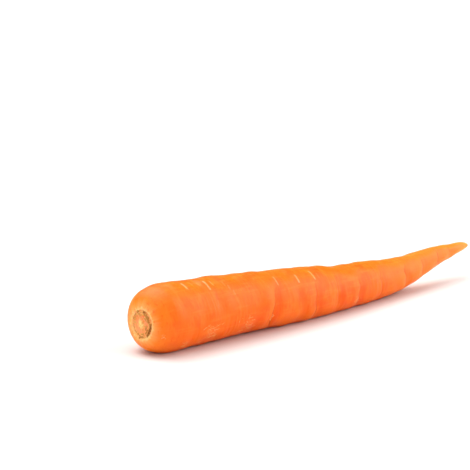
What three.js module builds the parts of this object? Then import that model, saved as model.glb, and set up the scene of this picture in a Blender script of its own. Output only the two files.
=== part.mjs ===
// A loose carrot root, topped and washed, lying on its side. Sizes are in millimetres.
// +X runs from the crown to the tip and +Z is up. Z = 0 is the surface that the root lies on.
// The root grew as one piece, so it is one closed solid: a ring of skin at each station from
// the middle of the crown to the tip, around a spine that bows sideways and rises at the tail.

import * as THREE from "three";
import { ParametricGeometry } from "three/addons/geometries/ParametricGeometry.js";

// Overall sizes
const rootLength = 215;
const rootDiameter = 29.6; // what the crown would measure if it didn't round over

// The outline, from the crown to the tip
const shoulderLength = 21; // the crown rounds over to the body in this length
const shoulderFullness = 3.8; // 2 is an ellipse, and more is squarer
const bodyTaper = 0.72; // the share of the girth that the even taper takes by the tip
const taperPower = 1.55; // above 1, the body stays full and thins late
const tailLength = 60;
const tailThinning = 0.4; // the share of the girth that the tail loses on top of the taper
const tipLength = 15.5; // the blunt end rounds over in this length

// The spine
const sideBow = 3.6; // the middle of the root stands out this far towards -Y
const tailRise = 12.4; // the underside of the tip stands this high
const tailRiseLength = 70; // the tail starts to rise this far from the tip
const restFlatDepth = 0.3; // the underside is pressed flat by this much, where the root lies

// The crown, where the leaves were cut off
const crownLean = 0.075; // the slope by which the crown faces upwards
const scarSideways = -1; // the scar's middle, measured from the spine towards +Y and +Z
const scarUpwards = -0.6;
const scarRingDiameter = 11.6; // the groove of leaf bases
const scarRingWidth = 1.6;
const scarRingDepth = 0.7;
const scarLipHeight = 0.25; // the rim of skin outside the groove
const buttonDiameter = 4.4; // the growing point in the middle
const buttonHeight = 0.35;

// The section is slightly oval, with its long way at this angle. Angles are in degrees from +Y,
// through +Z, so 90 is the top and 180 is the side towards -Y.
const ovalShare = 0.012;
const ovalAngle = 60;

// Low swells and hollows of the skin. `along` is the place as a share of the root's length.
const swells = [
  { along: 0.06, height: 0.5, halfLength: 9, angle: 245, spread: 50 },
  { along: 0.075, height: 0.3, halfLength: 7, angle: 85, spread: 45 },
  { along: 0.13, height: -0.25, halfLength: 7, angle: 85, spread: 50 },
  { along: 0.18, height: 0.25, halfLength: 8, angle: 85, spread: 50 },
  { along: 0.26, height: -0.6, halfLength: 10, angle: 235, spread: 40 },
  { along: 0.29, height: 0.25, halfLength: 8, angle: 160, spread: 60 },
  { along: 0.44, height: 0.55, halfLength: 20, angle: 240, spread: 60 },
  { along: 0.44, height: 0.25, halfLength: 14, angle: 80, spread: 50 },
  { along: 0.54, height: -0.65, halfLength: 9, angle: 85, spread: 50 },
  { along: 0.66, height: 0.7, halfLength: 12, angle: 80, spread: 50 },
  { along: 0.7, height: -0.45, halfLength: 9, angle: 240, spread: 50 },
  { along: 0.77, height: -0.2, halfLength: 8, angle: 75, spread: 50 },
  { along: 0.87, height: 0.35, halfLength: 9, angle: 80, spread: 60 },
  { along: 0.935, height: -0.6, halfLength: 5, angle: 80, spread: 70 },
  { along: 0.985, height: 0.4, halfLength: 5, angle: 90, spread: 60 },
];

// How finely the skin is faceted
const facetsAround = 64;
const crownRings = 15;
const bodyRings = 40;
const tipRings = 6;

const radians = THREE.MathUtils.degToRad;
const smoothstep = THREE.MathUtils.smoothstep;
const bell = (distance, halfWidth) => Math.exp(-((distance / halfWidth) ** 2));

// The radius that the taper leaves at a distance x from the crown, before the ends round over
function girthRadius(x) {
  const evenTaper = 1 - bodyTaper * (x / rootLength) ** taperPower;
  const tail = 1 - tailThinning * smoothstep(x, rootLength - tailLength, rootLength);
  return (rootDiameter / 2) * evenTaper * tail;
}

// The share of that radius that the rounded ends keep: 0 at each end and 1 between them
function endShare(x) {
  const intoShoulder = Math.max(0, 1 - x / shoulderLength);
  const intoTip = Math.max(0, 1 - (rootLength - x) / tipLength);
  const shoulder = (1 - intoShoulder ** shoulderFullness) ** (1 / shoulderFullness);
  return shoulder * Math.sqrt(1 - intoTip ** 2);
}

// The distance from the crown at which the shoulder has opened to a share of its girth
function shoulderPlace(share) {
  return shoulderLength * (1 - (1 - share ** shoulderFullness) ** (1 / shoulderFullness));
}

// How far the skin stands out at a place, from the low swells near it
function swellHeight(x, angle) {
  let height = 0;
  for (const swell of swells) {
    const turn = THREE.MathUtils.euclideanModulo(angle - radians(swell.angle) + Math.PI, 2 * Math.PI);
    const away = bell(x - swell.along * rootLength, swell.halfLength);
    height += swell.height * away * bell(turn - Math.PI, radians(swell.spread));
  }
  return height;
}

// How deep the crown's face lies at a place across it, measured from the spine
function crownDepth(across, up) {
  const radius = Math.hypot(across - scarSideways, up - scarUpwards);
  const ring = scarRingDepth * bell(radius - scarRingDiameter / 2, scarRingWidth / 2);
  const lip = scarLipHeight * bell(radius - scarRingDiameter / 2 - scarRingWidth, scarRingWidth);
  const button = buttonHeight * bell(radius, buttonDiameter / 2);
  return ring - lip - button;
}

// A point of the skin. The radius is measured square to the X axis, from the spine.
function skinPoint(x, angle, target) {
  const ends = endShare(x);
  const oval = 1 + ovalShare * Math.cos(2 * (angle - radians(ovalAngle)));
  const radius = ends * (girthRadius(x) * oval + swellHeight(x, angle));
  const across = radius * Math.cos(angle);
  const up = radius * Math.sin(angle);
  const crownFade = Math.max(0, 1 - x / shoulderLength) ** 2;
  const spineY = -sideBow * Math.sin((Math.PI * x) / rootLength) ** 2;
  const rise = tailRise * smoothstep(x, rootLength - tailRiseLength, rootLength);
  const spineZ = girthRadius(x) + rise - restFlatDepth;
  target.set(
    x + crownFade * (crownLean * up + crownDepth(across, up)),
    spineY + across,
    Math.max(0, spineZ + up),
  );
}

// Stations from the crown to the tip: even steps of radius over the crown's face, then even
// steps along the body, then even steps of arc around the tip.
const faceShare = 0.965;
const stations = [];
for (let ring = 0; ring <= crownRings; ring += 1) {
  stations.push(shoulderPlace((faceShare * ring) / crownRings));
}
const bodyStart = shoulderPlace(faceShare);
const bodyLength = rootLength - tipLength - bodyStart;
for (let ring = 1; ring <= bodyRings; ring += 1) {
  stations.push(bodyStart + (bodyLength * ring) / bodyRings);
}
for (let ring = 1; ring <= tipRings; ring += 1) {
  const arc = (Math.PI / 2) * (ring / tipRings);
  stations.push(rootLength - tipLength * (1 - Math.sin(arc)));
}

const lastStation = stations.length - 1;
const skin = new ParametricGeometry(
  (around, along, target) => {
    const facet = Math.round(around * facetsAround) % facetsAround;
    const angle = 2 * Math.PI * (facet / facetsAround);
    skinPoint(stations[Math.round(along * lastStation)], angle, target);
  },
  facetsAround,
  lastStation,
);

// The origin is under the middle of the root's own box.
skin.computeBoundingBox();
const middle = skin.boundingBox.getCenter(new THREE.Vector3());
skin.translate(-middle.x, -middle.y, 0);

const carrotSkin = new THREE.MeshStandardMaterial({ color: 0xf47a24, roughness: 0.45, metalness: 0 });
const carrotRoot = new THREE.Mesh(skin, carrotSkin);
carrotRoot.name = "carrot_root";

const carrot = new THREE.Group();
carrot.add(carrotRoot);

export default carrot;
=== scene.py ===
"""One fresh orange carrot root lying on a white table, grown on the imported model's frame."""

import math

import bpy
import numpy as np
from bpy.props import FloatProperty, FloatVectorProperty, IntProperty, PointerProperty
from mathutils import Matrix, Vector


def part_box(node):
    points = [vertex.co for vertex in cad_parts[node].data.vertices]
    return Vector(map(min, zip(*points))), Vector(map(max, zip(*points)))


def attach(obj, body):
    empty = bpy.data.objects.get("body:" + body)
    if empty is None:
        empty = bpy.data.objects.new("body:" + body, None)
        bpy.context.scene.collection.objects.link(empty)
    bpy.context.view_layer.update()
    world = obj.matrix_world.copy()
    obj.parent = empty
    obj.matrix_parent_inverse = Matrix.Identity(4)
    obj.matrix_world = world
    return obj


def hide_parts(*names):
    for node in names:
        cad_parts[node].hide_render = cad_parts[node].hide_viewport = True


bl_info = {
    "name": "Fresh Carrot",
    "version": (1, 0, 0),
    "blender": (4, 5, 0),
    "location": "View3D > Sidebar > Carrot",
    "description": "Grows one fresh carrot root with its crown scar, creases and skin marks",
    "category": "Object",
}

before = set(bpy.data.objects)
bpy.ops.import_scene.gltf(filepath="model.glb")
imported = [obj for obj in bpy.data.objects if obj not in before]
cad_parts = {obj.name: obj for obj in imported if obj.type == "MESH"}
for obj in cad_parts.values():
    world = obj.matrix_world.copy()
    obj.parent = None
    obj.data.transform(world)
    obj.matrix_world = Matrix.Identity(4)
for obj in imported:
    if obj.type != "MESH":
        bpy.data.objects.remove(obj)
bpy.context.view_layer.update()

ROOT_NODE = "carrot_root"
BODY = "root"
MM = 0.001

# The point that the camera looks at, beside the root, so that the root keeps its place (mm).
AIM = (-52.4, 0.0, 44.5)

# The section is slightly oval, with its long way at this angle (degrees, as for the swells).
OVAL_SHARE = 0.012
OVAL_ANGLE = 60

# The crown's face, which the size-true solid has too: how it leans back, and its leaf scar (mm).
FACE_SHARE = 0.965
CROWN_LEAN = 0.075
SCAR_ACROSS = -1.0
SCAR_UP = -0.6
GROOVE_HALF_WIDTH = 0.8
SCAR_LIP_HEIGHT = 0.25
SCAR_LIP_WIDTH = 1.6
BUTTON_HEIGHT = 0.35
BUTTON_RADIUS = 2.2

# What only the visual skin has on its crown (mm): heights of the leaf bases, the folds round the
# scar and the pits in it.
LEAF_HEIGHT = 0.62
FOLD_HEIGHT = 0.07
FOLD_MIDDLE = 8.5
FOLD_HALF_WIDTH = 3.2
PIT_HEIGHT = 0.09
PIT_HALF_WIDTH = 5.2
# The pits' waves turn by this many degrees for each millimetre up the crown.
PIT_TURN = 57.3

# A ring crease's section (mm, times CREASE_SCALE and the crease's nominal depth): a wide valley just
# on the tail side of its line, a narrow notch on the line, and a low swollen lip on its crown side.
CREASE_SCALE = 1.3
VALLEY_DEPTH = 0.75
VALLEY_SHIFT = 0.8
NOTCH_DEPTH = 0.32
NOTCH_HALF_WIDTH = 0.8
LIP_HEIGHT = 0.5
LIP_SHIFT = 4.5
WIDE_HALF_WIDTH = 3.2
# The nominal depth from which a crease's painted shade line, and the painted highlight and painted shade
# beside it, show at full strength (mm).
FULL_CREASE_SHADING = 0.34

# How far a crease's painted shade line, a pore's mark and a rootlet speck's reach from their lines (mm).
CREASE_SHADE_REACH = 1.0
PORE_REACH = 1.1
SPECK_REACH = 1.0

# Ranks of side roots on the far side (degrees).
FAR_RANKS = (25, 295)

# Slow swells that the size-true solid has too.
# place along the root (share), height (mm), half length (mm), middle angle and spread (degrees)
# Angles run from +Y through +Z: 90 is the top, 180 the -Y side, 270 the underside.
SWELLS = (
    (0.06, 0.5, 9, 245, 50),
    (0.075, 0.3, 7, 85, 45),
    (0.13, -0.25, 7, 85, 50),
    (0.18, 0.25, 8, 85, 50),
    (0.26, -0.6, 10, 235, 40),
    (0.29, 0.25, 8, 160, 60),
    (0.44, 0.55, 20, 240, 60),
    (0.44, 0.25, 14, 80, 50),
    (0.54, -0.65, 9, 85, 50),
    (0.66, 0.7, 12, 80, 50),
    (0.7, -0.45, 9, 240, 50),
    (0.77, -0.2, 8, 75, 50),
    (0.87, 0.35, 9, 80, 60),
    (0.935, -0.6, 5, 80, 70),
    (0.985, 0.4, 5, 90, 60),
)

# Ring creases where growth paused: place (mm from the crown), middle angle, half span (degrees),
# nominal depth (mm) and how far the ends bend towards the tail (mm).
CREASES = (
    (64.8, 200, 84, 0.50, 8.2),
    (81.0, 184, 70, 0.20, 3.9),
    (91.9, 188, 72, 0.34, 3.0),
    (107.0, 175, 60, 0.26, 1.8),
    (122.2, 190, 66, 0.40, 2.6),
    (139.0, 175, 60, 0.30, 2.0),
    (158.4, 176, 62, 0.42, 2.4),
    (173.0, 172, 60, 0.44, 1.8),
    (186.5, 172, 62, 0.40, 1.6),
    (197.0, 166, 60, 0.24, 1.1),
    (50.0, 150, 50, 0.10, 1.8),
    (34.0, 140, 44, 0.09, 1.4),
    (14.0, 118, 14, 0.06, 0.6),
)

# Pores, the short pale cross strokes: place (mm), middle angle, length (mm), strength.
PORES = (
    (21.0, 108, 4.2, 1.00),
    (25.5, 104, 2.2, 0.70),
    (28.5, 108, 2.2, 0.60),
    (32.0, 116, 5.4, 1.00),
    (35.5, 111, 3.2, 0.80),
    (38.0, 132, 1.6, 0.45),
    (41.2, 118, 2.4, 0.60),
    (42.6, 128, 2.2, 0.65),
    (44.0, 140, 2.0, 0.60),
    (59.0, 115, 1.4, 0.55),
    (70.5, 127, 4.4, 0.85),
    (83.5, 129, 3.8, 1.00),
    (87.0, 122, 1.0, 0.45),
    (94.2, 122, 5.4, 0.95),
    (97.0, 126, 2.6, 0.55),
    (32.6, 162, 1.6, 0.50),
    (34.4, 166, 1.2, 0.40),
    (44.2, 157, 2.4, 0.45),
    (112.0, 118, 2.0, 0.40),
    (131.0, 112, 2.6, 0.45),
    (150.0, 120, 2.2, 0.40),
    (168.0, 116, 1.8, 0.35),
)

# Clusters of broken rootlets: place (mm), middle angle, half length (mm), half span (degrees), count.
ROOTLET_PATCHES = (
    (3.6, 202, 0.8, 4, 5),
    (15.5, 220, 1.0, 7, 6),
    (29.5, 210, 3.6, 12, 22),
    (50.5, 209, 3.6, 13, 20),
    (63.5, 204, 1.6, 5, 6),
    (121.5, 207, 1.6, 8, 7),
)

# Patches of specks on the far side: place (mm) and middle angle.
FAR_PATCHES = ((24, 300), (47, 30), (71, 288), (98, 22), (116, 301), (149, 28), (171, 296))

# Leaf bases left in the crown scar: angle (degrees from -Y through +Z), distance from its middle,
# length and thickness (mm), and how brown it has dried (0 olive, 1 dark brown).
LEAF_BASES = (
    (80, 5.5, 1.5, 1.1, 0.90),
    (58, 5.0, 3.0, 0.9, 0.55),
    (30, 4.9, 2.6, 0.8, 0.55),
    (-18, 5.6, 4.6, 0.9, 1.00),
    (-46, 5.8, 2.0, 1.0, 0.90),
    (-87, 5.5, 1.6, 0.9, 0.50),
    (-108, 4.9, 2.6, 1.0, 0.40),
    (-135, 5.2, 1.6, 0.6, 0.30),
    (-160, 5.4, 2.2, 0.7, 0.35),
    (160, 5.8, 1.8, 0.7, 0.30),
    (143, 5.7, 1.8, 0.8, 0.35),
    (122, 5.9, 1.8, 0.9, 0.35),
    (107, 4.8, 2.2, 0.7, 0.50),
    (-14, 3.6, 2.6, 0.7, 0.45),
    (48, 3.9, 1.8, 0.6, 0.40),
    (95, 4.1, 2.2, 0.6, 0.35),
    (150, 4.6, 2.6, 0.6, 0.25),
    (-70, 4.3, 1.8, 0.7, 0.35),
    (-34, 4.6, 2.4, 0.6, 0.50),
    (178, 5.1, 2.0, 0.6, 0.25),
    (8, 5.5, 1.4, 0.8, 0.70),
    (-100, 6.3, 1.2, 0.6, 0.40),
)

# Rootlets that washing left standing: place (mm), middle angle and its spread (degrees).
ROOTLET_SPOTS = (
    (73, 82, 2), (16, 221, 5), (27, 214, 6), (29, 203, 8), (31, 212, 8), (47, 216, 5), (50, 206, 8),
    (52, 211, 6), (54, 202, 6), (64, 205, 4), (121, 206, 5), (24, 300, 8), (36, 28, 8), (47, 30, 8),
    (60, 296, 8), (71, 288, 8), (85, 24, 8), (98, 22, 8), (116, 301, 6), (132, 20, 8), (149, 28, 6),
    (160, 292, 8), (171, 296, 6), (183, 30, 8), (198, 300, 8), (206, 40, 10),
)


def linear(hex_colour):
    """An sRGB hex colour as the linear red, green and blue that the shaders use."""
    parts = [int(hex_colour[i : i + 2], 16) / 255 for i in (1, 3, 5)]
    return tuple(p / 12.92 if p <= 0.04045 else ((p + 0.055) / 1.055) ** 2.4 for p in parts)


def colour_setting(name, description, hex_colour):
    """A colour that a user may change, given as sRGB hex."""
    return FloatVectorProperty(
        name=name, description=description, default=linear(hex_colour), subtype="COLOR", min=0, max=1
    )


def length_setting(name, description, default):
    """A length in metres that a user may change."""
    return FloatProperty(
        name=name, description=description, default=default, unit="LENGTH", subtype="DISTANCE"
    )


class CarrotSizes(bpy.types.PropertyGroup):
    root_length: length_setting("Root length", "Crown to tail tip", 0.215)
    root_diameter: length_setting("Root diameter", "Greatest thickness, just behind the crown", 0.0296)
    shoulder_length: length_setting("Shoulder length", "Length the crown end takes to round", 0.021)
    shoulder_fullness: FloatProperty(
        name="Shoulder fullness", description="2 is a half egg, 4 nearly square", default=3.8
    )
    body_taper: FloatProperty(
        name="Body taper", description="Share of the thickness lost along the whole root", default=0.72
    )
    taper_power: FloatProperty(
        name="Taper power", description="Above 1 the thickness is lost late", default=1.55
    )
    tail_length: length_setting("Tail length", "Length over which the tail thins", 0.060)
    tail_thinning: FloatProperty(
        name="Tail thinning", description="Extra share of the thickness lost in the tail", default=0.4
    )
    tip_length: length_setting("Tip length", "Length of the rounded tail tip", 0.0155)
    side_bow: length_setting("Side bow", "How far the middle bows towards -Y", 0.0036)
    tail_rise: length_setting("Tail rise", "How far the tail tip's middle lifts", 0.0124)
    tail_rise_length: length_setting("Tail rise length", "Length over which the tail lifts", 0.070)
    rest_flat: length_setting("Rest flat", "Depth pressed flat where it lies", 0.0003)
    scar_diameter: length_setting("Scar ring diameter", "Ring of leaf bases in the crown", 0.0116)
    scar_ring_depth: length_setting("Scar ring depth", "Depth of the groove under the ring", 0.0007)
    lump_height: length_setting("Lump height", "Unevenness of the skin, 6 to 25 mm across", 0.00013)
    wrinkle_height: length_setting("Wrinkle height", "Fine ring wrinkles, 1 to 3 mm apart", 0.000018)
    pore_depth: length_setting("Pore depth", "Depth of a pale cross stroke", 0.00012)
    speck_height: length_setting("Speck height", "Height of a rootlet's stub", 0.00012)
    rootlet_radius: length_setting("Rootlet radius", "Of a standing rootlet, at its foot", 0.00006)
    matted_radius: length_setting("Matted rootlet radius", "Of a rootlet lying on the skin", 0.00009)
    longest_rootlet: length_setting("Longest rootlet", "The one standing on the back", 0.0032)
    grain_seed: IntProperty(name="Grain seed", description="Changes the random marks", default=11)


class CarrotColours(bpy.types.PropertyGroup):
    skin: colour_setting("Skin", "Most of the root", "#F46D0C")
    # Deep skin also serves as the painted shade on the tail side of each crease.
    deep_skin_and_crease_shade: colour_setting("Deep skin", "Redder blotches", "#EC5505")
    # Pale skin also serves as the painted highlight on the crown side of each crease.
    pale_skin_and_crease_highlight: colour_setting("Pale skin", "Thin, paler blotches and rings", "#FB8830")
    shoulder: colour_setting("Shoulder", "Yellower skin round the crown", "#FC8C22")
    tail: colour_setting("Tail", "Yellower skin of the thin end", "#F69030")
    tip: colour_setting("Tip", "Olive yellow of the very end", "#E29C38")
    # The crease colour is painted shade: a dark line where shade falls in a ring crease.
    crease: colour_setting("Crease", "Dark line in a ring crease", "#C24600")
    pore: colour_setting("Pore", "Corky cross strokes", "#FFC58A")
    crown: colour_setting("Crown", "Peach skin round the scar", "#FDA85A")
    rim: colour_setting("Rim", "Cream rim of the scar", "#FDC880")
    core: colour_setting("Core", "Pale yellow heart of the scar", "#F2D588")
    flesh: colour_setting("Flesh", "Salmon flesh inside the scar ring", "#F79A60")
    ring_bed: colour_setting("Ring bed", "Tan cork between the leaf bases", "#E8A860")
    leaf_olive: colour_setting("Leaf base, fresh", "Olive leaf bases", "#D49E50")
    rootlet: colour_setting("Rootlet", "Dried rootlet hairs", "#FFD68E")
    rootlet_tan: colour_setting("Rootlet, darker", "Darker stretches of the hairs", "#F9B865")
    leaf_brown: colour_setting("Leaf base, dry", "Dried brown leaf bases", "#8C5415")


class StudioSettings(bpy.types.PropertyGroup):
    floor: colour_setting("Floor", "White laminate table top", "#DCDCDA")
    floor_size: length_setting("Floor size", "Side of the floor", 12.0)
    back_strength: FloatProperty(name="Back light", description="Soft light from behind", default=2.05)
    top_strength: FloatProperty(name="Top light", description="Soft light from above", default=2.5)
    side_strength: FloatProperty(name="Side light", description="Soft light past the tail", default=2.85)
    crown_strength: FloatProperty(name="Crown light", description="Soft light on the crown", default=1.1)
    light_spread: FloatProperty(
        name="Light spread", description="How wide each soft light looks from the table",
        default=math.radians(60), subtype="ANGLE", unit="ROTATION",
    )
    light_distance: length_setting("Light distance", "Where the lights' icons stand", 2.0)
    backdrop_strength: FloatProperty(
        name="Backdrop", description="Brightness of the white that the camera sees", default=1.05
    )
    fill_strength: FloatProperty(name="Fill light", description="Light from all round", default=0.14)
    fill_colour: colour_setting("Fill colour", "Warm tint of the light from all round", "#FF5A28")
    camera_distance: length_setting("Camera distance", "Camera to the middle of the root", 0.860)
    camera_pivot: length_setting("Camera pivot", "Height of the point that it turns round", 0.016)
    camera_azimuth: FloatProperty(
        name="Camera azimuth", description="Turn about the vertical", default=math.radians(-45.48),
        subtype="ANGLE", unit="ROTATION",
    )
    camera_elevation: FloatProperty(
        name="Camera elevation", description="Height above the table", default=math.radians(14.06),
        subtype="ANGLE", unit="ROTATION",
    )
    camera_lens: FloatProperty(
        name="Lens", description="Focal length", default=141.6, unit="CAMERA", subtype="DISTANCE_CAMERA"
    )


def bell(distance, half_width):
    """1 at distance 0, falling as the exponential of minus the squared share of half_width."""
    return np.exp(-((distance / half_width) ** 2))


def smooth_step(value, start, end):
    """0 before start, 1 after end, and an S-shaped cubic between them."""
    share = np.clip((value - start) / (end - start), 0, 1)
    return share * share * (3 - 2 * share)


def turn_between(angle, middle):
    """The signed turn in degrees from middle to angle, between -180 and 180."""
    return (angle - middle + 180) % 360 - 180


def girth_radius(along, sizes):
    """Half the thickness (mm): the full half, less a power of the share along, thinned in the tail."""
    length = sizes.root_length / MM
    tapered = 1 - sizes.body_taper * (along / length) ** sizes.taper_power
    thinned = 1 - sizes.tail_thinning * smooth_step(along, length - sizes.tail_length / MM, length)
    return sizes.root_diameter / MM / 2 * tapered * thinned


def end_share(along, sizes):
    """Share of the girth kept near the ends: a full super-ellipse shoulder and an elliptic tip."""
    length = sizes.root_length / MM
    into_shoulder = np.maximum(0, 1 - along / (sizes.shoulder_length / MM))
    into_tip = np.maximum(0, 1 - (length - along) / (sizes.tip_length / MM))
    power = sizes.shoulder_fullness
    shoulder = np.maximum(0, 1 - into_shoulder**power) ** (1 / power)
    return shoulder * np.sqrt(np.maximum(0, 1 - into_tip**2))


def ring_places(sizes, crown_rings, body_rings, tip_rings):
    """Places of the rings (mm from the crown): even steps of radius over the crown face,
    even steps along the body, and even steps of arc round the tip."""
    length = sizes.root_length / MM
    shoulder = sizes.shoulder_length / MM
    tip = sizes.tip_length / MM
    share = FACE_SHARE * np.arange(1, crown_rings + 1) / crown_rings
    crown = shoulder * (1 - (1 - share**sizes.shoulder_fullness) ** (1 / sizes.shoulder_fullness))
    body = np.linspace(crown[-1], length - tip, body_rings + 1)[1:]
    arc = np.linspace(0, math.pi / 2, tip_rings + 2)[1:-1]
    return np.concatenate([crown, body, length - tip * (1 - np.sin(arc))])


def waves(along, angle, random, count, lengths, turns):
    """Even-sized bumps: a sum of count cosines, each with its own length along the root (mm),
    whole number of turns round it and starting phase, so the pattern closes round the root."""
    total = 0
    for _ in range(count):
        length = random.uniform(*lengths)
        turn = random.integers(*turns)
        phase = random.uniform(0, 2 * math.pi)
        side = random.choice((-1, 1))
        total = total + np.cos(2 * math.pi * along / length + side * turn * np.radians(angle) + phase)
    return total / math.sqrt(count / 2)


def stroke_field(along, angle, strokes, reach, sizes):
    """Strength of the nearest stroke: 1 on its line, falling evenly to 0 at reach (mm) from it.
    A stroke is (place, middle angle, length, strength, slant) and runs round the root."""
    field = np.zeros(np.broadcast(along, angle).shape)
    for place, middle, length, strength, slant in strokes:
        around = np.radians(turn_between(angle, middle)) * girth_radius(place, sizes)
        ahead = along - place - slant * around
        gap = np.hypot(ahead, np.maximum(0, np.abs(around) - length / 2))
        field = np.maximum(field, strength * np.clip(1 - gap / reach, 0, 1))
    return field


def crease_fields(along, angle, creases):
    """Height of the ring creases (mm, below 0 in them), a line of painted shade along them (0 to 1),
    and the side of the line that a point is on (1 crown side, which gets painted highlight, -1 tail
    side, which gets painted shade). A crease is a sum of bells: a notch on a slightly wandering line
    whose ends bend towards the tail, a wide valley and a low lip."""
    height = np.zeros(np.broadcast(along, angle).shape)
    line = np.zeros_like(height)
    side = np.zeros_like(height)
    for place, middle, half_span, depth, bend in creases:
        share = turn_between(angle, middle) / half_span
        wander = 0.35 * np.sin(np.radians(angle) * 6 + place) + 0.2 * np.sin(np.radians(angle) * 11)
        ahead = along - place - bend * share**2 - wander
        fade = np.clip(1 - np.abs(share) ** 3, 0, 1) * (np.abs(share) < 1)
        valley = VALLEY_DEPTH * bell(ahead - VALLEY_SHIFT, WIDE_HALF_WIDTH)
        notch = NOTCH_DEPTH * bell(ahead, NOTCH_HALF_WIDTH)
        lip = LIP_HEIGHT * bell(ahead + LIP_SHIFT, WIDE_HALF_WIDTH)
        height += CREASE_SCALE * depth * fade * (lip - (valley + notch))
        strength = min(1, depth / FULL_CREASE_SHADING) * fade
        # Painted shade along the crease's line, darkest on the line itself.
        line = np.maximum(line, strength * np.clip(1 - np.abs(ahead) / CREASE_SHADE_REACH, 0, 1))
        # Where painted highlight goes (the crown side of the line) and where painted shade goes (the tail
        # side).
        side += strength * (bell(ahead + 2.2, 1.9) - bell(ahead - 2.4, 2.4))
    return height, line, np.clip(side, -1, 1)


def leaf_fields(across, up, leaves):
    """Leaf bases in the crown scar, as strokes that follow the ring: strength (0 to 1) and dryness."""
    field = np.zeros(across.shape)
    brown = np.zeros(across.shape)
    radius = np.hypot(across, up)
    turn = np.degrees(np.arctan2(up, -across))
    for middle, ring, length, thickness, dry in leaves:
        around = np.radians(turn_between(turn, middle)) * ring
        gap = np.hypot(radius - ring, np.maximum(0, np.abs(around) - length / 2 + thickness / 2))
        nearness = np.clip(1 - gap / thickness, 0, 1)
        brown = np.where(nearness > field, dry, brown)
        field = np.maximum(field, nearness)
    return field, brown


def scattered_strokes(random, sizes):
    """Pale strokes along the two ranks of side roots on the far side, and a few between ranks."""
    strokes = []
    length = sizes.root_length / MM
    for rank in FAR_RANKS:
        place = random.uniform(14, 20)
        while place < length - 22:
            middle = rank + random.normal(0, 7)
            strokes.append((place, middle, random.uniform(1.0, 4.0), random.uniform(0.3, 0.85), 0.0))
            place += random.uniform(3.5, 13)
    for _ in range(46):
        place = random.uniform(16, length - 16)
        middle = random.uniform(0, 360)
        strokes.append((place, middle, random.uniform(0.6, 2.2), random.uniform(0.15, 0.4), 0.0))
    return strokes


def rootlet_specks(random, sizes):
    """Specks and short slanted dashes of every rootlet patch, as strokes."""
    specks = []
    patches = list(ROOTLET_PATCHES)
    for place, middle in FAR_PATCHES:
        patches.append((place, middle, random.uniform(1.5, 3.5), 9, int(random.integers(6, 16))))
    for place, middle, half_length, half_span, count in patches:
        for _ in range(count):
            spot = place + half_length * random.uniform(-1, 1)
            turn = middle + half_span * random.uniform(-1, 1)
            size = random.uniform(0.2, 1.5)
            specks.append((spot, turn, size, random.uniform(0.5, 0.9), random.normal(0, 0.5)))
    return specks


def far_creases(random, sizes):
    """Ring creases of the far side, 9 to 20 mm apart, like those of the near side."""
    creases = []
    place = 24.0
    while place < sizes.root_length / MM - 14:
        middle = random.uniform(290, 400)
        depth = random.uniform(0.1, 0.42)
        creases.append((place, middle, random.uniform(24, 46), depth, random.uniform(-1.5, 2.2)))
        place += random.uniform(9, 20)
    return creases


def crown_face(across, up, random, sizes):
    """How far the crown's face is pushed in along X (mm), and its leaf bases' strength and dryness.

    The scar's groove goes in. Its lip, the button in its middle and its leaf bases stand out, folds
    fan out round it as cosines of the direction, and pits dot it."""
    scar_across = across - SCAR_ACROSS
    scar_up = up - SCAR_UP
    scar_radius = np.hypot(scar_across, scar_up)
    ring = sizes.scar_diameter / MM / 2
    groove = sizes.scar_ring_depth / MM * bell(scar_radius - ring, GROOVE_HALF_WIDTH)
    lip = SCAR_LIP_HEIGHT * bell(scar_radius - ring - SCAR_LIP_WIDTH, SCAR_LIP_WIDTH)
    button = BUTTON_HEIGHT * bell(scar_radius, BUTTON_RADIUS)
    leaves, leaf_brown = leaf_fields(scar_across, scar_up, LEAF_BASES)
    turn = np.arctan2(scar_up, scar_across)
    folds = np.cos(23 * turn + 1.3 * np.sin(3 * turn)) + 0.6 * np.cos(41 * turn + 2)
    folds = FOLD_HEIGHT * bell(scar_radius - FOLD_MIDDLE, FOLD_HALF_WIDTH) * folds
    # The height on the crown stands in for the angle, so the pits don't follow rings.
    pits = waves(across, PIT_TURN * up, random, 10, (1.2, 2.6), (1, 4))
    pits = PIT_HEIGHT * bell(scar_radius, PIT_HALF_WIDTH) * pits
    leaf_height = LEAF_HEIGHT * smooth_step(leaves, 0.1, 0.75)
    return groove - lip - button - leaf_height + folds + pits, leaves, leaf_brown


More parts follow.
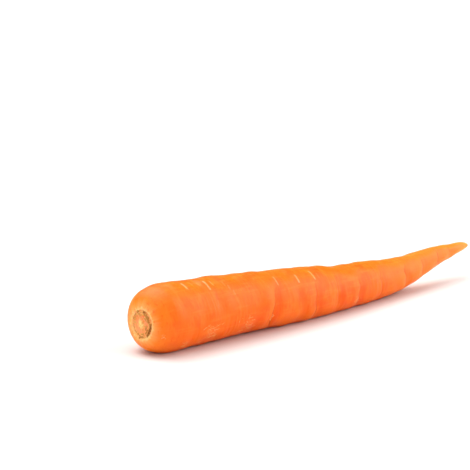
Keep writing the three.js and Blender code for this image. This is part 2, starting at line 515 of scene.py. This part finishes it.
def root_surface(sizes, crown_rings=58, body_rings=460, tip_rings=18, around=184):
    """The root's skin as rings of points, with what its material reads at each point.

    A ring's points stand at the girth radius, times the end share, plus swells, lumps, wrinkles,
    creases and pores. Rings shift sideways by a squared sine (the bow) and upwards by an S curve
    (the rising tail), the belly is cut flat at the table, and the crown face is pushed in along X
    by the scar's groove and out by its leaf bases.
    """
    random = np.random.default_rng(sizes.grain_seed)
    length = sizes.root_length / MM
    places = ring_places(sizes, crown_rings, body_rings, tip_rings)
    ends = np.array([0.0, length])
    along = np.concatenate([ends[:1], places, ends[1:]])[:, None]
    angle = (np.arange(around) * 360 / around)[None, :]
    radians = np.radians(angle)

    swell = 0
    for place, height, half_length, middle, spread in SWELLS:
        swell = swell + height * bell(along - place * length, half_length) * bell(
            turn_between(angle, middle), spread
        )
    girth = girth_radius(along, sizes)
    share = end_share(along, sizes)
    # Unevenness fades out over the last 14 mm to the crown and 12 mm to the tip, and creases get
    # shallower where the root is thin.
    relief_fade = smooth_step(along, 0.6, 14) * smooth_step(length - along, 0.3, 12)
    thin = 0.35 + 0.65 * girth / (sizes.root_diameter / MM / 2)
    lumps = sizes.lump_height / MM * waves(along, angle, random, 22, (7, 26), (1, 6))
    wrinkles = sizes.wrinkle_height / MM * waves(along, angle, random, 26, (1.3, 3.4), (0, 5))
    patchy = 0.5 + 0.5 * np.clip(waves(along, angle, random, 8, (14, 40), (1, 4)), -1, 1)
    all_creases = list(CREASES) + far_creases(random, sizes)
    # Besides their heights, the creases give a line of painted shade, and the sides that get painted
    # highlight and painted shade.
    creases, painted_crease_shade, crease_side = crease_fields(along, angle, all_creases)
    listed = [(place, middle, size, strength, 0.0) for place, middle, size, strength in PORES]
    strokes = listed + scattered_strokes(random, sizes)
    pores = stroke_field(along, angle, strokes, PORE_REACH, sizes)
    specks = stroke_field(along, angle, rootlet_specks(random, sizes), SPECK_REACH, sizes)

    relief = swell + creases * thin + relief_fade * (lumps * thin + wrinkles * (0.3 + 1.1 * patchy))
    relief = relief - sizes.pore_depth / MM * smooth_step(pores, 0.35, 0.9)
    relief = relief + sizes.speck_height / MM * smooth_step(specks, 0.4, 0.9)
    oval = 1 + OVAL_SHARE * np.cos(2 * (radians - math.radians(OVAL_ANGLE)))
    radius = share * (girth * oval + relief)
    across = radius * np.cos(radians)
    up = radius * np.sin(radians)

    pushed, leaves, leaf_brown = crown_face(across, up, random, sizes)
    crown_fade = np.maximum(0, 1 - along / (sizes.shoulder_length / MM)) ** 2
    x = along + crown_fade * (CROWN_LEAN * up + pushed)
    bow = -sizes.side_bow / MM * np.sin(math.pi * along / length) ** 2
    rise = sizes.tail_rise / MM * smooth_step(along, length - sizes.tail_rise_length / MM, length)
    z = np.maximum(0, girth + rise - sizes.rest_flat / MM + up)
    points = np.stack(np.broadcast_arrays(x, bow + across, z), axis=-1)

    # A flat map of the skin round the scar, by the way walked from the crown's middle (mm), and the
    # place along the root.
    steps = np.diff(points[:, :, 0].mean(axis=1))
    widths = np.diff(radius.mean(axis=1))
    walked = np.concatenate([[0.0], np.cumsum(np.hypot(steps, widths))])[:, None]
    map_across = walked * np.cos(radians) - SCAR_ACROSS
    map_up = walked * np.sin(radians) - SCAR_UP
    crown_map = np.stack(np.broadcast_arrays(map_across, map_up, along), axis=-1)
    fields = {
        "crown_map": crown_map,
        "crease": painted_crease_shade,
        "crease_side": crease_side,
        "pore": pores,
        "rootlet_scar": specks,
        "leaf_base": leaves * (along < 4),
        "leaf_brown": leaf_brown,
    }
    return points, fields


def placed_surface(sizes):
    """The root's skin in metres, with its box's middle where the size-true solid's is."""
    points, fields = root_surface(sizes)
    points = points * MM
    node_low, node_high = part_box(ROOT_NODE)
    flat = points.reshape(-1, 3)
    shift = (np.array(node_low) + np.array(node_high)) / 2 - (flat.min(0) + flat.max(0)) / 2
    return points + shift * (1, 1, 0), fields


def rootlet_tubes(sizes, skin, sides=6, steps=7):
    """Short tapering hairs, standing or lying, as closed tubes. Each starts just under the skin and
    curls over: its middle line is the start, plus the outward way times the share along the hair
    less half its square, plus a way of its own over the skin times a power of the share."""
    random = np.random.default_rng(sizes.grain_seed + 1)
    starts = []
    outwards = []
    standing = list(ROOTLET_SPOTS)
    lying = []
    for place, middle, half_length, half_span, hairs in ROOTLET_PATCHES:
        for _ in range(hairs):
            lying.append((place + half_length * random.normal(0, 0.8), middle, 1.4 * half_span))
    around = skin.shape[1]
    ring_middles = skin[:, :, 0].mean(axis=1)
    for place, middle, spread in standing + lying:
        ring = int(np.argmin(np.abs(ring_middles - ring_middles[0] - place * MM)))
        turn = middle + spread * random.uniform(-1, 1)
        start = skin[ring, int(round(turn / 360 * around)) % around]
        out = start - skin[ring].mean(axis=0)
        starts.append(start)
        outwards.append(out / np.linalg.norm(out))
    count = len(starts)
    starts = np.array(starts)[:, None, :]
    outwards = np.array(outwards)[:, None, :]
    lengths = random.uniform(0.8, 2.8, (count, 1, 1)) * MM
    lengths[0] = sizes.longest_rootlet
    ways = random.normal(0, 1, (count, 1, 3)) * (0.9, 0.5, 0.5) + (0.5, 0, 0)
    ways -= outwards * (ways * outwards).sum(axis=2, keepdims=True)
    lies = (np.arange(count) >= len(standing))[:, None, None]
    lift = np.where(lies, 0.12, 0.9)
    sideways = np.where(lies, 0.8, 0.5)
    share = np.linspace(-0.12, 1, steps)[None, :, None]
    bend = share * np.abs(share) ** (1 - 0.8 * lies)
    middles = starts + lengths * (outwards * lift * (share - 0.5 * share**2) + sideways * ways * bend)
    above_table = 0.1 * MM
    middles[:, :, 2] = np.maximum(middles[:, :, 2], above_table)
    tangents = np.gradient(middles, axis=1)
    tangents /= np.linalg.norm(tangents, axis=2, keepdims=True)
    slant = (0.31, 0.77, 0.55)
    across = np.cross(tangents, slant)
    across /= np.linalg.norm(across, axis=2, keepdims=True)
    beside = np.cross(tangents, across)
    thickness = np.where(lies, sizes.matted_radius, sizes.rootlet_radius)
    radius = (thickness * (1 - 0.75 * np.clip(share, 0, 1)))[..., None]
    turn = (np.arange(sides) * 2 * math.pi / sides)[None, None, :, None]
    rings = middles[:, :, None] + radius * (
        np.cos(turn) * across[:, :, None] + np.sin(turn) * beside[:, :, None]
    )
    points = np.concatenate([middles[:, :1], rings.reshape(count, -1, 3), middles[:, -1:]], axis=1)
    offsets = (np.arange(count) * points.shape[1])[:, None, None]
    groups = [(g[None] + offsets).reshape(-1, g.shape[1]) for g in ring_faces(steps, sides)]
    return points.reshape(-1, 3), groups


def close_rings(values):
    """Flattens rings of values whose first and last ring are one point each: crown, rings, tail."""
    flat = values[1:-1].reshape((-1,) + values.shape[2:])
    return np.concatenate([values[:1, 0], flat, values[-1:, 0]])


def ring_faces(rings, around):
    """Corner lists of a closed skin over one crown point, rings of around points, and one tail point:
    a fan at each end and quads between neighbouring rings, all facing outwards."""
    here = np.arange(around)
    ahead = (here + 1) % around
    first = 1
    last = 1 + (rings - 1) * around
    tail = 1 + rings * around
    crown = np.stack([np.zeros_like(here), first + ahead, first + here], axis=-1)
    starts = 1 + around * np.arange(rings - 1)[:, None]
    quads = np.stack(
        [starts + here, starts + ahead, starts + around + ahead, starts + around + here], axis=-1
    ).reshape(-1, 4)
    end = np.stack([last + here, last + ahead, np.full_like(here, tail)], axis=-1)
    return crown, quads, end


def make_mesh(name, points, groups):
    """A smooth mesh object at the origin from points (m) and groups of same-sized faces."""
    mesh = bpy.data.meshes.new(name)
    mesh.vertices.add(len(points))
    mesh.vertices.foreach_set("co", np.ascontiguousarray(points, np.float32).ravel())
    corners = np.concatenate([g.ravel() for g in groups])
    sizes = np.concatenate([np.full(len(g), g.shape[1]) for g in groups])
    mesh.loops.add(len(corners))
    mesh.loops.foreach_set("vertex_index", corners.astype(np.int32))
    mesh.polygons.add(len(sizes))
    starts = np.concatenate([[0], np.cumsum(sizes)[:-1]])
    mesh.polygons.foreach_set("loop_start", starts.astype(np.int32))
    mesh.update(calc_edges=True)
    mesh.polygons.foreach_set("use_smooth", np.ones(len(sizes), bool))
    if mesh.validate():
        raise RuntimeError(f"{name} has broken faces")
    piece = bpy.data.objects.new(name, mesh)
    bpy.context.scene.collection.objects.link(piece)
    return piece


def store_field(mesh, name, values):
    """Keeps one number or one vector at each point, for the material to read."""
    kind = "FLOAT_VECTOR" if values.ndim == 2 else "FLOAT"
    attribute = mesh.attributes.new(name, kind, "POINT")
    attribute.data.foreach_set(
        "vector" if values.ndim == 2 else "value", np.ascontiguousarray(values, np.float32).ravel()
    )


def add_node(tree, kind, settings=None, inputs=None):
    """Adds a node, sets its settings, and gives each input a value or a link from (node, output)."""
    node = tree.nodes.new(kind)
    for key, value in (settings or {}).items():
        setattr(node, key, value)
    for key, value in (inputs or {}).items():
        if isinstance(value, tuple) and isinstance(value[0], bpy.types.Node):
            tree.links.new(value[0].outputs[value[1]], node.inputs[key])
        else:
            node.inputs[key].default_value = value
    return node


def opaque(colour):
    """A colour with full alpha, as colour sockets want it."""
    return (*colour, 1.0)


def carrot_skin(colours):
    """Fresh carrot periderm, scrubbed and slightly moist: a thin waxy cork skin over wet flesh.

    To the eye it is a satin orange with soft broad highlights, light that sinks a millimetre or two
    and comes back redder, fine pale rings, and corky pores that stay dull.
    """
    material = bpy.data.materials.new("fresh_carrot_periderm")
    material.use_nodes = True
    tree = material.node_tree
    tree.nodes.clear()
    place = add_node(tree, "ShaderNodeTexCoord")
    spot = (place, "Object")
    shader = add_node(
        tree,
        "ShaderNodeBsdfPrincipled",
        inputs={
            "IOR": 1.38,
            "Specular IOR Level": 0.27,
            "Subsurface Weight": 0.45,
            "Subsurface Radius": (1.0, 0.22, 0.05),
            "Subsurface Scale": 0.005,
        },
    )
    output = add_node(tree, "ShaderNodeOutputMaterial", inputs={"Surface": (shader, "BSDF")})
    output.is_active_output = True

    # Coordinates squeezed across the root draw rings; squeezed along it they draw fibres.
    rings = add_node(tree, "ShaderNodeMapping", inputs={"Vector": spot, "Scale": (1.0, 0.36, 0.36)})
    fibres = add_node(tree, "ShaderNodeMapping", inputs={"Vector": spot, "Scale": (0.10, 1.0, 1.0)})
    # Sizes in millimetres, measured across rings and fibres.
    noises = {}
    for name, source, size_mm, detail in (
        ("blotch", spot, 12.0, 2.0),
        ("ring", (rings, "Vector"), 3.0, 3.0),
        ("fine_ring", (rings, "Vector"), 0.9, 2.0),
        ("fibre", (fibres, "Vector"), 1.5, 2.0),
        ("grain", spot, 0.6, 3.0),
        ("fleck", spot, 1.1, 3.0),
    ):
        noises[name] = add_node(
            tree,
            "ShaderNodeTexNoise",
            {"noise_dimensions": "3D"},
            {"Vector": source, "Scale": 1000 / size_mm, "Detail": detail, "Roughness": 0.55},
        )

    fields = {}
    for name in ("crown_map", "crease", "crease_side", "pore", "rootlet_scar", "leaf_base", "leaf_brown"):
        fields[name] = add_node(
            tree, "ShaderNodeAttribute", {"attribute_type": "GEOMETRY", "attribute_name": name}
        )
    flat_map = add_node(
        tree,
        "ShaderNodeVectorMath",
        {"operation": "MULTIPLY"},
        {0: (fields["crown_map"], "Vector"), 1: (1.0, 1.0, 0.0)},
    )
    scar_distance = add_node(
        tree, "ShaderNodeVectorMath", {"operation": "LENGTH"}, {0: (flat_map, "Vector")}
    )
    scar_direction = add_node(
        tree, "ShaderNodeVectorMath", {"operation": "NORMALIZE"}, {0: (flat_map, "Vector")}
    )
    along = add_node(tree, "ShaderNodeSeparateXYZ", inputs={0: (fields["crown_map"], "Vector")})
    # Streaks that fan out from the scar.
    fan = add_node(
        tree,
        "ShaderNodeTexNoise",
        {"noise_dimensions": "3D"},
        {"Vector": (scar_direction, "Vector"), "Scale": 5.5, "Detail": 3.0, "Roughness": 0.6},
    )
    # Noise stretched about zero frays the edges that it is added to, by up to a few millimetres.
    frays = {}
    for name, source, stretch, offset in (
        ("scar", (noises["fleck"], "Fac"), 3.2, -1.6),
        ("fan", (fan, "Fac"), 5.0, -2.5),
        ("leaf", (noises["grain"], "Fac"), 3.4, -1.7),
        ("pore", (noises["grain"], "Fac"), 1.1, 0.35),
    ):
        frays[name] = add_node(
            tree, "ShaderNodeMath", {"operation": "MULTIPLY_ADD"}, {0: source, 1: stretch, 2: offset}
        )
    frayed = {}
    for name, operation, source in (
        ("scar", "ADD", (scar_distance, "Value")),
        ("fan", "ADD", (scar_distance, "Value")),
        ("leaf", "ADD", (fields["leaf_base"], "Fac")),
        ("pore", "MULTIPLY", (fields["pore"], "Fac")),
    ):
        frayed[name] = add_node(
            tree, "ShaderNodeMath", {"operation": operation}, {0: source, 1: (frays[name], 0)}
        )
    in_leaf = add_node(
        tree,
        "ShaderNodeMath",
        {"operation": "MULTIPLY"},
        {0: (frayed["leaf"], 0), 1: (fields["leaf_base"], "Fac")},
    )
    scar_zone = add_node(
        tree,
        "ShaderNodeMapRange",
        {"interpolation_type": "SMOOTHSTEP"},
        {"Value": (frayed["scar"], 0), "From Min": 5.0, "From Max": 7.6, "To Min": 1.0, "To Max": 0.0},
    )
    scar_fleck = add_node(
        tree,
        "ShaderNodeMath",
        {"operation": "MULTIPLY"},
        {0: (noises["fleck"], "Fac"), 1: (scar_zone, 0)},
    )

    # Where each layer shows: its source, the values between which it comes in, and its share of the
    # colour at each. Distances are in millimetres.
    masks = {}
    for name, source, start, end, low, high in (
        ("deep", (noises["blotch"], "Fac"), 0.45, 0.70, 0.0, 0.55),
        ("pale_ring", (noises["ring"], "Fac"), 0.50, 0.75, 0.0, 0.38),
        ("fine_pale", (noises["fine_ring"], "Fac"), 0.56, 0.74, 0.0, 0.18),
        ("fine_deep", (noises["fine_ring"], "Fac"), 0.45, 0.30, 0.0, 0.4),
        ("fibre", (noises["fibre"], "Fac"), 0.50, 0.75, 0.0, 0.32),
        ("tail", (along, "Z"), 115.0, 205.0, 0.0, 0.55),
        ("tip", (along, "Z"), 197.0, 213.5, 0.0, 0.85),
        ("shoulder", (frayed["fan"], 0), 8.0, 20.0, 0.75, 0.0),
        ("crown", (frayed["fan"], 0), 6.0, 11.5, 1.0, 0.0),
        ("rim", (frayed["scar"], 0), 6.7, 7.9, 1.0, 0.0),
        ("ring_bed", (frayed["scar"], 0), 5.9, 6.5, 0.85, 0.0),
        ("flesh", (frayed["scar"], 0), 3.6, 4.8, 1.0, 0.0),
        ("core", (frayed["scar"], 0), 0.9, 2.6, 1.0, 0.0),
        ("fleck", (scar_fleck, 0), 0.48, 0.62, 0.0, 0.6),
        # Painted highlight on the crown side of each crease and painted shade on its tail side.
        ("crown_side", (fields["crease_side"], "Fac"), 0.1, 1.0, 0.0, 0.2),
        ("tail_side", (fields["crease_side"], "Fac"), -0.1, -1.0, 0.0, 0.45),
        # Painted shade along the line of each crease.
        ("crease", (fields["crease"], "Fac"), 0.25, 1.0, 0.0, 0.6),
        ("pore", (frayed["pore"], 0), 0.25, 1.05, 0.0, 0.66),
        ("speck", (fields["rootlet_scar"], "Fac"), 0.30, 0.80, 0.0, 0.16),
        ("leaf", (in_leaf, 0), 0.03, 0.42, 0.0, 1.0),
    ):
        masks[name] = add_node(
            tree,
            "ShaderNodeMapRange",
            {"interpolation_type": "SMOOTHSTEP"},
            {"Value": source, "From Min": start, "From Max": end, "To Min": low, "To Max": high},
        )
    leaf_colour = add_node(
        tree,
        "ShaderNodeMix",
        {"data_type": "RGBA"},
        {
            0: (fields["leaf_brown"], "Fac"),
            6: opaque(colours.leaf_olive),
            7: opaque(colours.leaf_brown),
        },
    )
    # Each layer covers the ones before it.
    layers = (
        ("deep", opaque(colours.deep_skin_and_crease_shade)),
        ("pale_ring", opaque(colours.pale_skin_and_crease_highlight)),
        ("fibre", opaque(colours.pale_skin_and_crease_highlight)),
        ("fine_pale", opaque(colours.pale_skin_and_crease_highlight)),
        ("shoulder", opaque(colours.shoulder)),
        ("crown", opaque(colours.crown)),
        ("rim", opaque(colours.rim)),
        ("ring_bed", opaque(colours.ring_bed)),
        ("flesh", opaque(colours.flesh)),
        ("core", opaque(colours.core)),
        ("fleck", opaque(colours.leaf_olive)),
        # Painted highlight on the crown side of each crease and painted shade on its tail side.
        ("crown_side", opaque(colours.pale_skin_and_crease_highlight)),
        ("tail_side", opaque(colours.deep_skin_and_crease_shade)),
        ("fine_deep", opaque(colours.deep_skin_and_crease_shade)),
        ("tail", opaque(colours.tail)),
        ("tip", opaque(colours.tip)),
        # Painted shade in the creases.
        ("crease", opaque(colours.crease)),
        ("pore", opaque(colours.pore)),
        ("speck", opaque(colours.rootlet)),
        ("leaf", (leaf_colour, 2)),
    )
    below = opaque(colours.skin)
    for name, colour in layers:
        mixed = add_node(
            tree, "ShaderNodeMix", {"data_type": "RGBA"}, {0: (masks[name], 0), 6: below, 7: colour}
        )
        below = (mixed, 2)
    tree.links.new(mixed.outputs[2], shader.inputs["Base Color"])

    # Cork and dried leaf bases are dull; the waxy skin between them is satin.
    satin = add_node(
        tree,
        "ShaderNodeMapRange",
        inputs={"Value": (noises["fine_ring"], "Fac"), "To Min": 0.36, "To Max": 0.52},
    )
    dull = add_node(
        tree, "ShaderNodeMath", {"operation": "MAXIMUM"}, {0: (masks["leaf"], 0), 1: (masks["crown"], 0)}
    )
    rough = add_node(
        tree, "ShaderNodeMix", {"data_type": "FLOAT"}, {0: (dull, 0), 2: (satin, 0), 3: 0.62}
    )
    tree.links.new(rough.outputs[0], shader.inputs["Roughness"])

    # Relief too fine for the mesh: ring wrinkles 0.9 mm apart and 0.6 mm grain, under 0.1 mm high.
    below = None
    for source, height_mm in (
        ((noises["ring"], "Fac"), 0.06),
        ((noises["fine_ring"], "Fac"), 0.03),
        ((noises["grain"], "Fac"), 0.03),
        ((noises["fibre"], "Fac"), 0.03),
    ):
        inputs = {"Height": source, "Distance": height_mm * MM, "Strength": 1.0}
        if below:
            inputs["Normal"] = (below, "Normal")
        below = add_node(tree, "ShaderNodeBump", inputs=inputs)
    tree.links.new(below.outputs["Normal"], shader.inputs["Normal"])
    return material


def dry_rootlet(colours):
    """Dried rootlet: a pale corky fibre, matt, that catches the light as a fine bright line."""
    material = bpy.data.materials.new("dried_rootlet_fibre")
    material.use_nodes = True
    tree = material.node_tree
    tree.nodes.clear()
    place = add_node(tree, "ShaderNodeTexCoord")
    # Fibre colour changes over 0.8 mm.
    noise = add_node(
        tree, "ShaderNodeTexNoise", inputs={"Vector": (place, "Object"), "Scale": 1000 / 0.8}
    )
    mixed = add_node(
        tree,
        "ShaderNodeMix",
        {"data_type": "RGBA"},
        {0: (noise, "Fac"), 6: opaque(colours.rootlet), 7: opaque(colours.rootlet_tan)},
    )
    bump = add_node(tree, "ShaderNodeBump", inputs={"Height": (noise, "Fac"), "Distance": 0.03 * MM})
    shader = add_node(
        tree,
        "ShaderNodeBsdfPrincipled",
        inputs={
            "Base Color": (mixed, 2),
            "Roughness": 0.75,
            "IOR": 1.45,
            "Normal": (bump, "Normal"),
        },
    )
    add_node(tree, "ShaderNodeOutputMaterial", inputs={"Surface": (shader, "BSDF")})
    return material


def white_table(colour):
    """White laminate table top: smooth, matt, a pale ground that takes a soft shadow."""
    material = bpy.data.materials.new("white_laminate_table")
    material.use_nodes = True
    tree = material.node_tree
    tree.nodes.clear()
    shader = add_node(
        tree,
        "ShaderNodeBsdfPrincipled",
        inputs={"Base Color": opaque(colour), "Roughness": 0.6, "Specular IOR Level": 0.1},
    )
    add_node(tree, "ShaderNodeOutputMaterial", inputs={"Surface": (shader, "BSDF")})
    return material


class CARROT_OT_root(bpy.types.Operator):
    """Grow the carrot root in place of the size-true solid"""

    bl_idname = "carrot.root"
    bl_label = "Grow the root"

    def execute(self, context):
        points, fields = placed_surface(context.scene.carrot_sizes)
        rings, around = points.shape[0] - 2, points.shape[1]
        piece = make_mesh("carrot_root_skin", close_rings(points), ring_faces(rings, around))
        for name, values in fields.items():
            full = np.broadcast_to(values, points.shape[:2] + values.shape[2:])
            store_field(piece.data, name, close_rings(full))
        piece.data.materials.append(carrot_skin(context.scene.carrot_colours))
        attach(piece, BODY)
        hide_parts(ROOT_NODE)
        return {"FINISHED"}


class CARROT_OT_rootlets(bpy.types.Operator):
    """Add the short broken rootlets that washing leaves on the root"""

    bl_idname = "carrot.rootlets"
    bl_label = "Add the rootlets"

    def execute(self, context):
        sizes = context.scene.carrot_sizes
        points, groups = rootlet_tubes(sizes, placed_surface(sizes)[0])
        piece = make_mesh("broken_rootlets", points, groups)
        piece.data.materials.append(dry_rootlet(context.scene.carrot_colours))
        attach(piece, BODY)
        return {"FINISHED"}


class CARROT_OT_stage(bpy.types.Operator):
    """Lay the white table, hang the soft lights and set the camera"""

    bl_idname = "carrot.stage"
    bl_label = "Set the stage"

    def execute(self, context):
        studio = context.scene.carrot_studio
        half = studio.floor_size / 2
        corners = np.array([(-half, -half, 0), (half, -half, 0), (half, half, 0), (-half, half, 0)])
        floor = make_mesh("table_top", corners, (np.array([[0, 1, 2, 3]]),))
        floor.data.materials.append(white_table(studio.floor))

        # Soft lights: name, strength, and the azimuth and elevation it comes from (degrees).
        for name, strength, azimuth, elevation in (
            ("back_soft_light", studio.back_strength, 180, 50),
            ("top_soft_light", studio.top_strength, 180, 77),
            ("right_soft_light", studio.side_strength, 51, 28),
            ("crown_soft_light", studio.crown_strength, -100, 25),
        ):
            light = bpy.data.lights.new(name, "SUN")
            light.energy = strength
            light.angle = studio.light_spread
            lamp = bpy.data.objects.new(name, light)
            lamp.rotation_mode = "QUATERNION"
            towards = direction(math.radians(azimuth), math.radians(elevation))
            lamp.rotation_quaternion = towards.to_track_quat("Z", "Y")
            lamp.location = towards * studio.light_distance
            context.scene.collection.objects.link(lamp)

        world = bpy.data.worlds.new("soft_white_room")
        world.use_nodes = True
        tree = world.node_tree
        tree.nodes.clear()
        path = add_node(tree, "ShaderNodeLightPath")
        fill = add_node(
            tree,
            "ShaderNodeMix",
            {"data_type": "FLOAT"},
            {0: (path, "Is Camera Ray"), 2: studio.fill_strength, 3: studio.backdrop_strength},
        )
        white = (1.0, 1.0, 1.0)
        tint = add_node(
            tree,
            "ShaderNodeMix",
            {"data_type": "RGBA"},
            {0: (path, "Is Camera Ray"), 6: opaque(studio.fill_colour), 7: opaque(white)},
        )
        glow = add_node(
            tree, "ShaderNodeBackground", inputs={"Color": (tint, 2), "Strength": (fill, 0)}
        )
        add_node(tree, "ShaderNodeOutputWorld", inputs={"Surface": (glow, "Background")})
        context.scene.world = world
        context.scene.view_settings.view_transform = "Standard"
        context.scene.view_settings.look = "None"

        data = bpy.data.cameras.new("camera")
        data.lens = studio.camera_lens
        data.sensor_width = 36
        data.clip_start = 0.01
        data.clip_end = 100
        camera = bpy.data.objects.new("camera", data)
        middle = Vector((0, 0, studio.camera_pivot))
        back = direction(studio.camera_azimuth, studio.camera_elevation)
        camera.location = middle + back * studio.camera_distance
        aim = Vector(AIM) * MM
        camera.rotation_mode = "QUATERNION"
        camera.rotation_quaternion = (camera.location - aim).to_track_quat("Z", "Y")
        context.scene.collection.objects.link(camera)
        context.scene.camera = camera
        return {"FINISHED"}


def direction(azimuth, elevation):
    """The unit vector towards an azimuth (0 is -Y, 90 degrees is +X) and an elevation."""
    level = math.cos(elevation)
    return Vector((math.sin(azimuth) * level, -math.cos(azimuth) * level, math.sin(elevation)))


class VIEW3D_PT_carrot(bpy.types.Panel):
    """Sizes, colours and steps of the carrot"""

    bl_label = "Carrot"
    bl_space_type = "VIEW_3D"
    bl_region_type = "UI"
    bl_category = "Carrot"

    def draw(self, context):
        layout = self.layout
        for operator in OPERATORS:
            layout.operator(operator.bl_idname)
        for group in (
            context.scene.carrot_sizes,
            context.scene.carrot_colours,
            context.scene.carrot_studio,
        ):
            for name in group.__annotations__:
                layout.prop(group, name)


OPERATORS = (CARROT_OT_root, CARROT_OT_rootlets, CARROT_OT_stage)
CLASSES = (CarrotSizes, CarrotColours, StudioSettings) + OPERATORS + (VIEW3D_PT_carrot,)


def register():
    for cls in CLASSES:
        bpy.utils.register_class(cls)
    bpy.types.Scene.carrot_sizes = PointerProperty(type=CarrotSizes)
    bpy.types.Scene.carrot_colours = PointerProperty(type=CarrotColours)
    bpy.types.Scene.carrot_studio = PointerProperty(type=StudioSettings)


def unregister():
    del bpy.types.Scene.carrot_studio
    del bpy.types.Scene.carrot_colours
    del bpy.types.Scene.carrot_sizes
    for cls in reversed(CLASSES):
        bpy.utils.unregister_class(cls)


def main():
    """Registers the classes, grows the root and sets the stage."""
    register()
    for step in (bpy.ops.carrot.root, bpy.ops.carrot.rootlets, bpy.ops.carrot.stage):
        if step() != {"FINISHED"}:
            raise RuntimeError(f"{step} didn't finish")


if __name__ == "__main__":
    main()
